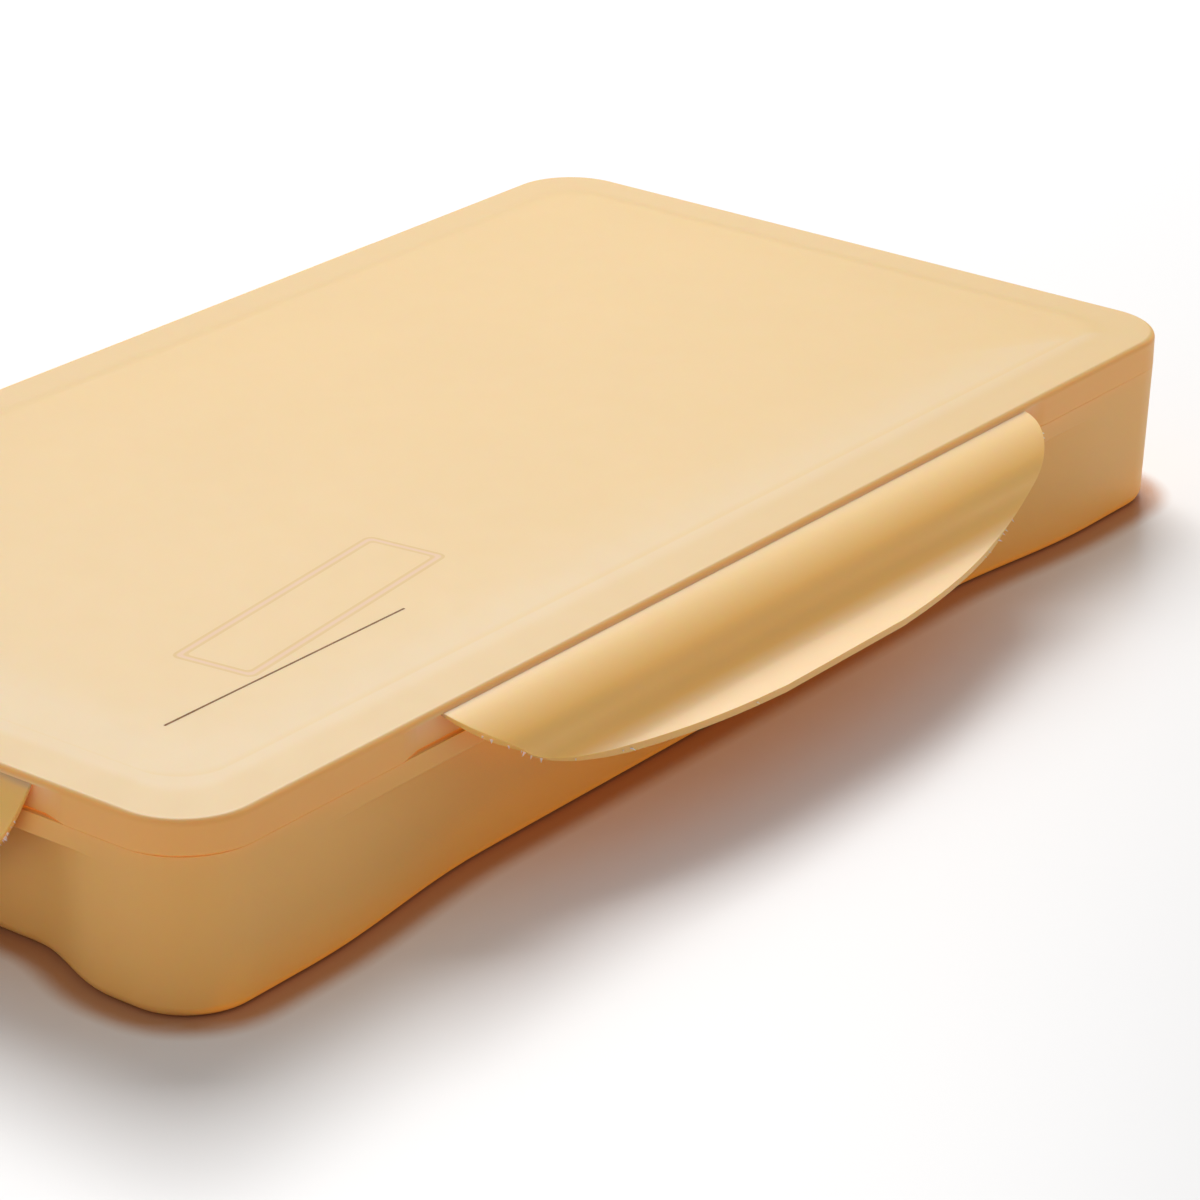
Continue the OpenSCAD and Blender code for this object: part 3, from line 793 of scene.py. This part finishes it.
def flap_ring(row, shift):
    """The points round a row: along one face, over its rounded end, back and over the other."""
    ring = []
    edge = min(FLAP_EDGE_R, row.thick / 2, row.half * 0.3)
    for side in (1, -1):
        ring += [(side * x, row.middle + row.normal * side * row.thick / 2)
                 for x in spread(-(row.half - edge), row.half - edge, FLAP_COLUMNS)]
        for end in (1, -1):
            for i in range(1 if end > 0 else 0, FLAP_EDGE_STEPS + (1 if end > 0 else 0)):
                angle = QUARTER * i / FLAP_EDGE_STEPS
                turn_out = math.sin(angle) if end > 0 else math.cos(angle)
                turn_up = math.cos(angle) if end > 0 else math.sin(angle)
                ring.append((side * (row.half - edge + edge * turn_out),
                             row.middle + row.normal * side * end
                             * (row.thick / 2 - edge + edge * turn_up)))
    return [Vector((x + shift, -p.x, -p.y)) for x, p in ring]


def build_flap(name, length, shift, catch_length, place, rest, burr_seed):
    """A flap: its S-shaped skin cut to the outline and rounded at its edge, its catch and its
    burrs."""
    face, bulge_down = flap_face()
    rows = flap_rows(length, face, bulge_down)
    bm = bmesh.new()
    darkening, flash = (bm.verts.layers.float.new(key) for key in ("darkening", "flash"))
    for verts, row in zip(add_grid(bm, [flap_ring(row, shift) for row in rows]), rows):
        for vert in verts:
            end = abs(vert.co.x - shift) / (length / 2)
            vert[darkening] = darkening_at(row.arc, end, rows[-1].arc)
    add_catch(bm, catch_length, face, shift)
    for vert in add_burrs(bm, rows, shift, burr_seed):
        vert[flash] = 1
    bmesh.ops.rotate(bm, verts=bm.verts, matrix=Matrix.Rotation(-math.radians(rest), 3, "X"))
    bmesh.ops.transform(bm, verts=bm.verts, matrix=place)
    dress(finish_mesh(bm, name + "_skin"), case_flap, name, "flaps", name)


CATCH_END, CATCH_TAPER = 0.5 * MM, 0.2


def add_catch(bm, length, face, shift):
    """The bead inside a flap that snaps under the tray's rim band."""
    top = HINGE_Z - BAND_Z + FIT
    inner_out = min(face, key=lambda p: abs(p[1] - top))[0] - FLAP_T / 2
    tip = HINGE_IN - CATCH_REACH - lean(BAND_Z)
    section = filleted([(inner_out, top - 0.2 * MM, 0), (tip, top, 0.3 * MM),
                        (tip, top + FLAP_T, 0.7 * MM), (inner_out, top + FLAP_T + 0.3 * MM, 0)], 4)
    rows = []
    for x, scale in ((-length / 2, CATCH_TAPER), (-length / 2 + CATCH_END, 1),
                     (length / 2 - CATCH_END, 1), (length / 2, CATCH_TAPER)):
        middle = Vector((inner_out, top + FLAP_T / 2))
        points = [middle + (Vector(p) - middle) * scale for p in section]
        rows.append([Vector((x + shift, -p.x, -p.y)) for p in points])
    add_grid(bm, rows)


BURRS, BURR_SIZES, BURR_LENGTH = 26, (0.2 * MM, 0.6 * MM), 1.6
BURR_DEPTH, BURR_T = 0.3, 0.15 * MM
ROUNDED_FROM = 0.985  # share of a flap's length at which its outline is taken to turn in


def add_burrs(bm, rows, shift, seed):
    """Tiny slivers of flash along the lip's edge; returns their vertices."""
    rng = random.Random(seed)
    turned = [row for row in rows if row.half < rows[0].half * ROUNDED_FROM]
    made = []
    for _ in range(BURRS):
        k = rng.randrange(1, len(turned) - 1)
        side = rng.choice((-1, 1))
        at, beyond = (Vector((side * row.half + shift, -row.middle.x, -row.middle.y))
                      for row in turned[k:k + 2])
        along = (beyond - at).normalized()
        normal = Vector((0, -turned[k].normal.x, -turned[k].normal.y))
        outward = normal.cross(along).normalized()
        outward *= 1 if outward.dot(Vector((side, 0, -1))) > 0 else -1
        size = rng.uniform(*BURR_SIZES)
        tip = at + outward * (size * BURR_LENGTH) + along * rng.uniform(-1, 1) * size
        tip += normal * rng.uniform(-0.4, 0.4) * size
        root = at - outward * turned[k].thick * BURR_DEPTH
        verts = [bm.verts.new(p) for p in (root - along * size, root + along * size, tip,
                                           root + normal * BURR_T)]
        for face in ((0, 1, 2), (0, 2, 3), (1, 3, 2), (0, 3, 1)):
            bm.faces.new([verts[i] for i in face])
        made += verts
    return made


def flap_place(turn, half_width):
    """The hinge line's place, turned to one of the four sides."""
    hinge = Matrix.Translation((0, HINGE_IN - half_width, HINGE_Z))
    return Matrix.Rotation(math.radians(turn), 4, "Z") @ hinge


LONG_FLAP = dict(length=188 * MM, catch_length=110 * MM, rest=49)
SHORT_FLAP = dict(length=99 * MM, catch_length=50 * MM, rest=11)
build_flap("front_flap", shift=1.4 * MM, place=flap_place(0, HALF_W), burr_seed=3, **LONG_FLAP)
build_flap("back_flap", shift=0, place=flap_place(180, HALF_W), burr_seed=5, **LONG_FLAP)
build_flap("left_flap", shift=-1.75 * MM, place=flap_place(-90, HALF_L), burr_seed=7, **SHORT_FLAP)
build_flap("right_flap", shift=0, place=flap_place(90, HALF_L), burr_seed=9, **SHORT_FLAP)

# ---- palette -------------------------------------------------------------------------

PALETTE_T = 1.3 * MM
PALETTE_INSET = PLUG_INNER + FIT
PALETTE_RIM_W = 3.4 * MM
PALETTE_WALL = PALETTE_INSET + PALETTE_RIM_W
PALETTE_EDGE_R = 1.3 * MM
DECK_Z = PALETTE_HIGH[2]
PALETTE_RIM_Z = LEDGE_Z + REST + PALETTE_T
WELL_FLOOR_Z = PALETTE_LOW[2] + PALETTE_T
WELL_WEB = 5 * MM
WELL_R = 5 * MM
WELL_ROW_W = 38 * MM
TROUGH_W = 12 * MM
WELL_COUNT, PAN_COUNT = 6, 3
palette_plan = Plan(HALF_L, HALF_W, CORNER_R, steps=12)


def palette_hollows():
    """Each hollow's middle and half sizes, from the back row of wells to the mixing pans."""
    half_x = HALF_L - PALETTE_WALL - PALETTE_T - WELL_WEB
    half_y = HALF_W - PALETTE_WALL - PALETTE_T - WELL_WEB
    pan_w = 2 * half_y - WELL_ROW_W - TROUGH_W - 2 * WELL_WEB

    def row(count, y, width):
        length = (2 * half_x - (count - 1) * WELL_WEB) / count
        return [(-half_x + length / 2 + i * (length + WELL_WEB), y, length / 2, width / 2)
                for i in range(count)]

    return (row(WELL_COUNT, half_y - WELL_ROW_W / 2, WELL_ROW_W)
            + row(1, half_y - WELL_ROW_W - WELL_WEB - TROUGH_W / 2, TROUGH_W)
            + row(PAN_COUNT, -half_y + pan_w / 2, pan_w))


def build_palette():
    """The palette's upper skin, thickened downwards: its rim and wall, its deck as a fill between
    the wall and the hollows, and the hollows."""
    bm = bmesh.new()
    section = filleted([(PALETTE_INSET, PALETTE_RIM_Z, 0), (PALETTE_WALL, PALETTE_RIM_Z, 0.6 * MM),
                        (PALETTE_WALL, DECK_Z, PALETTE_EDGE_R),
                        (PALETTE_WALL + PALETTE_EDGE_R * 1.02, DECK_Z, 0)])
    outer = add_shell(bm, palette_plan, lambda s: section, cap_first=False, cap_last=False)[-1]
    loops = [outer]
    section = filleted([(-PALETTE_EDGE_R * 0.4, DECK_Z, 0), (0, DECK_Z, PALETTE_EDGE_R * 0.4),
                        (0.5 * MM, WELL_FLOOR_Z, 2.5 * MM), (4 * MM, WELL_FLOOR_Z, 0)])
    for x, y, half_x, half_y in palette_hollows():
        plan = Plan(half_x, half_y, WELL_R, (x, y), steps=8)
        loops.append(add_shell(bm, plan, lambda s: section, cap_first=False)[0])
    edges = [bm.edges.get((a, b)) for loop in loops for a, b in zip(loop, loop[1:] + loop[:1])]
    bmesh.ops.triangle_fill(bm, edges=edges, use_beauty=True, use_dissolve=False)
    obj = finish_mesh(bm, "palette_tray")
    solid = obj.modifiers.new("thickness", "SOLIDIFY")
    solid.thickness = PALETTE_T
    solid.offset = -1
    obj.modifiers.move(1, 0)
    dress(obj, glossy_white(), "palette", "palette", "palette")


def glossy_white():
    nodes = Nodes("palette_white", IOR=1.5, Subsurface_Weight=0.1, Subsurface_Scale=1 * MM,
                  Subsurface_Radius=(1.0, 0.9, 0.8), Coat_Weight=0.2, Coat_Roughness=0.1)
    nodes.plug("Base Color", nodes.mottled(nodes.noise(20), linear("#efede7"), linear("#f5f4f0")))
    nodes.plug("Roughness", nodes.spread(nodes.noise(120), 0.22, 0.32))
    nodes.bump((nodes.noise(35, 1), 0.03 * MM))
    return nodes.material


build_palette()

# ---- cups and paint ------------------------------------------------------------------

CUP_SIDE = 47.4 * MM
CUP_H = 21.6 * MM
CUP_WALL = 1.1 * MM
CUP_CORNER_R = 9 * MM
CUP_RIM_T = 1.2 * MM
CUP_Z = FLOOR_Z + REST
PAINT_H, PAINT_DIP = 14.6 * MM, 0.9 * MM
STIR_H, STIR_SCALES, STIR_SHARE = 0.55 * MM, (75, 190), 0.5
CLIMB_H, CLIMB_W = 0.8 * MM, 0.9 * MM
PAINT_ROWS = [x * MM for x in (0.4, 1, 1.8, 3, 4.5, 6.5, 8.5, 10.5, 12.5, 14.5, 16.5, 18.5)]
PAINT_COLOURS = {
    "white": "#f7f5ee", "lemon": "#f6dc3a", "golden": "#f2b21c", "orange": "#ec7a1e",
    "vermilion": "#d8341f", "crimson": "#b01c35", "pink": "#e77f9c", "violet": "#7a3a86",
    "ultramarine": "#2f3a96", "blue": "#1f5fae", "sky": "#4aa3d6", "turquoise": "#2fa5a0",
    "deep_green": "#1f7a4c", "leaf_green": "#7fae3c", "ochre": "#c58b2e", "sienna": "#8c4a26",
    "umber": "#4e3324", "black": "#1d1c1e"}


def milky_plastic():
    nodes = Nodes("cup_milky", IOR=1.49, Subsurface_Weight=0.35, Subsurface_Scale=2 * MM,
                  Subsurface_Radius=(1.0, 0.95, 0.85), Specular_IOR_Level=0.5)
    nodes.plug("Base Color", nodes.mottled(nodes.noise(30), linear("#eceadf"), linear("#f4f2ea")))
    nodes.plug("Roughness", nodes.spread(nodes.noise(160), 0.3, 0.42))
    nodes.bump((nodes.noise(50, 1), 0.03 * MM))
    return nodes.material


def gouache(name, colour):
    """Thick opaque paint: slightly uneven, with damp patches and brush-fine ripples."""
    nodes = Nodes("gouache_" + name, IOR=1.45, Specular_IOR_Level=0.4)
    pigment = nodes.noise(120, 5, 0.6)
    nodes.plug("Base Color", nodes.mottled(pigment, shade(colour, 0.9), shade(colour, 1.05)))
    nodes.plug("Roughness", nodes.spread(nodes.noise(45, 3), 0.28, 0.6))
    nodes.bump((nodes.noise(220, 4), 0.06 * MM), (nodes.noise(900, 2), 0.015 * MM))
    return nodes.material


def build_cup(index, middle, material):
    bm = bmesh.new()
    plan = Plan(CUP_SIDE / 2, CUP_SIDE / 2, CUP_CORNER_R, middle, steps=8)
    low, high = CUP_Z, CUP_Z + CUP_H
    section = filleted([
        (CUP_RIM_W + 3 * MM, low, 0),
        (CUP_RIM_W, low, 1 * MM),
        (CUP_RIM_W, high - CUP_RIM_T, 0.3 * MM),
        (0, high - CUP_RIM_T, 0.3 * MM),
        (0, high, 0.4 * MM),
        (CUP_RIM_W + CUP_WALL, high, 0.5 * MM),
        (CUP_RIM_W + CUP_WALL, low + CUP_WALL, 1 * MM),
        (CUP_RIM_W + CUP_WALL + 3 * MM, low + CUP_WALL, 0)])
    add_shell(bm, plan, lambda station: section)
    node = "cup_%02d" % index
    dress(finish_mesh(bm, node + "_shell"), material, "tray", "cups", node)


def build_paint(index, middle, name, colour):
    """A block of paint that climbs a little at the walls and has a gently stirred top."""
    bm = bmesh.new()
    half = CUP_SIDE / 2 - CUP_RIM_W - CUP_WALL - REST / 2
    places = spread(-12 * MM, 12 * MM, 8)
    plan = Plan(half, half, CUP_CORNER_R - CUP_RIM_W - CUP_WALL, middle, steps=8,
                long_u=places, short_u=places)
    low = CUP_Z + CUP_WALL + REST / 2
    top = low + PAINT_H
    seed = Vector((index * 3.7, index * 1.3, 0))

    def height(spot):
        coarse, fine = (noise.noise(spot * scale + seed) for scale in STIR_SCALES)
        return top - PAINT_DIP + STIR_H * (coarse + STIR_SHARE * fine)

    rows = [[plan.spot(s, 1 * MM, low) for s in plan.stations],
            [plan.spot(s, 0, low + 1 * MM) for s in plan.stations],
            [plan.spot(s, 0, top) for s in plan.stations]]
    for inset in PAINT_ROWS:
        climb = math.exp(-inset / CLIMB_W) * CLIMB_H
        row = [plan.spot(s, inset, 0) for s in plan.stations]
        for spot in row:
            spot.z = min(height(Vector((spot.x, spot.y, 0))) + climb, top)
        rows.append(row)
    add_grid(bm, rows)
    node = "paint_%02d" % index
    dress(finish_mesh(bm, node + "_fill"), gouache(name, linear(colour)), "tray", node, node)


def build_cups():
    milky = milky_plastic()
    for i, (name, colour) in enumerate(PAINT_COLOURS.items()):
        middle = ((i % CUP_COLS - (CUP_COLS - 1) / 2) * CUP_PITCH,
                  ((CUP_ROWS - 1) / 2 - i // CUP_COLS) * CUP_PITCH)
        build_cup(i + 1, middle, milky)
        build_paint(i + 1, middle, name, colour)


build_cups()

# ---- floor, light and camera ---------------------------------------------------------


FLOOR_HALF = 6
CONTACT_W, CONTACT_OPENNESS, CONTACT_COLOUR = 7.5 * MM, (0.8, 0.95), [0.48, 0.25, 0.13, 1]


def build_floor():
    """A white floor with the case's brown contact shadow close round its foot."""
    mesh = bpy.data.meshes.new("floor")
    corners = [(x * FLOOR_HALF, y * FLOOR_HALF, 0) for x, y in ((-1, -1), (1, -1), (1, 1), (-1, 1))]
    mesh.from_pydata(corners, [], [(0, 1, 2, 3)])
    floor = bpy.data.objects.new("floor", mesh)
    bpy.context.scene.collection.objects.link(floor)
    nodes = Nodes("floor_white", Roughness=0.36, Specular_IOR_Level=0.3)
    white = nodes.ramp(nodes.noise(3), (0, linear("#e9e9ea")), (1, linear("#eeeeee")))
    contact = nodes.spread(nodes.openness(CONTACT_W), 1, 0, *CONTACT_OPENNESS)
    nodes.plug("Base Color", nodes.mix(contact, white, CONTACT_COLOUR))
    mesh.materials.append(nodes.material)


KEY = dict(at=(1.06, 0.96, 1.6), target=(0, 0, 0), size=(1.15, 1.4), watts=44,
           colour=(1, 0.99, 0.98))
FILL = dict(at=(-1.5, -0.1, 0.5), target=(-0.1, 0, 0), size=(1, 0.8), watts=1.3,
            colour=(1, 1, 1))
WORLD_FILL, WORLD_GLOSS = 0.42, 0.55


def add_lamp(name, at, target, size, watts, colour):
    lamp = bpy.data.lights.new(name, "AREA")
    lamp.shape = "RECTANGLE"
    lamp.size, lamp.size_y = size
    lamp.energy = watts
    lamp.color = colour
    obj = bpy.data.objects.new(name, lamp)
    obj.location = at
    obj.rotation_euler = (Vector(target) - Vector(at)).to_track_quat("-Z", "Y").to_euler()
    bpy.context.scene.collection.objects.link(obj)


def build_light():
    """Two lamps in a white world, which is weaker as a light and as a reflection than as a
    background."""
    add_lamp("key", **KEY)
    add_lamp("fill", **FILL)
    world = bpy.data.worlds.new("studio")
    bpy.context.scene.world = world
    world.use_nodes = True
    tree = world.node_tree
    back = tree.nodes["Background"]
    rays = tree.nodes.new("ShaderNodeLightPath")
    strength = rays.outputs["Is Camera Ray"]
    for part, output in ((WORLD_GLOSS, "Is Glossy Ray"), (WORLD_FILL, None)):
        level = tree.nodes.new("ShaderNodeMath")
        level.operation = "MULTIPLY"
        level.inputs[0].default_value = 1
        level.inputs[1].default_value = part
        if output:
            tree.links.new(rays.outputs[output], level.inputs[0])
        most = tree.nodes.new("ShaderNodeMath")
        most.operation = "MAXIMUM"
        tree.links.new(strength, most.inputs[0])
        tree.links.new(level.outputs[0], most.inputs[1])
        strength = most.outputs[0]
    tree.links.new(strength, back.inputs["Strength"])
    back.inputs["Color"].default_value = (1, 1, 1, 1)


VIEW_AZIMUTH, VIEW_ELEVATION, VIEW_ROLL = (math.radians(a) for a in (-53.016, 23.563, 0.8685))
VIEW_OFFSET = (38.42 * MM, 3.4 * MM)
VIEW_DISTANCE = 914.2 * MM
FOCAL_LENGTH, SENSOR = 135.76, 36


def build_camera():
    """The photograph's camera, worked out from the case's edges."""
    sin_a, cos_a = math.sin(VIEW_AZIMUTH), math.cos(VIEW_AZIMUTH)
    back = Vector((sin_a * math.cos(VIEW_ELEVATION), -cos_a * math.cos(VIEW_ELEVATION),
                   math.sin(VIEW_ELEVATION)))
    level = Vector((cos_a, sin_a, 0))
    upright = back.cross(level)
    right = level * math.cos(VIEW_ROLL) + upright * math.sin(VIEW_ROLL)
    up = upright * math.cos(VIEW_ROLL) - level * math.sin(VIEW_ROLL)
    at = right * VIEW_OFFSET[0] + up * VIEW_OFFSET[1] + back * VIEW_DISTANCE
    data = bpy.data.cameras.new("camera")
    data.sensor_fit = "HORIZONTAL"
    data.sensor_width = SENSOR
    data.lens = FOCAL_LENGTH
    data.clip_start = 0.01
    camera = bpy.data.objects.new("camera", data)
    axes = Matrix((right, up, back)).transposed()
    camera.matrix_world = Matrix.Translation(at) @ axes.to_4x4()
    bpy.context.scene.collection.objects.link(camera)
    bpy.context.scene.camera = camera


build_floor()
build_light()
build_camera()
bpy.context.scene.view_settings.view_transform = "Standard"
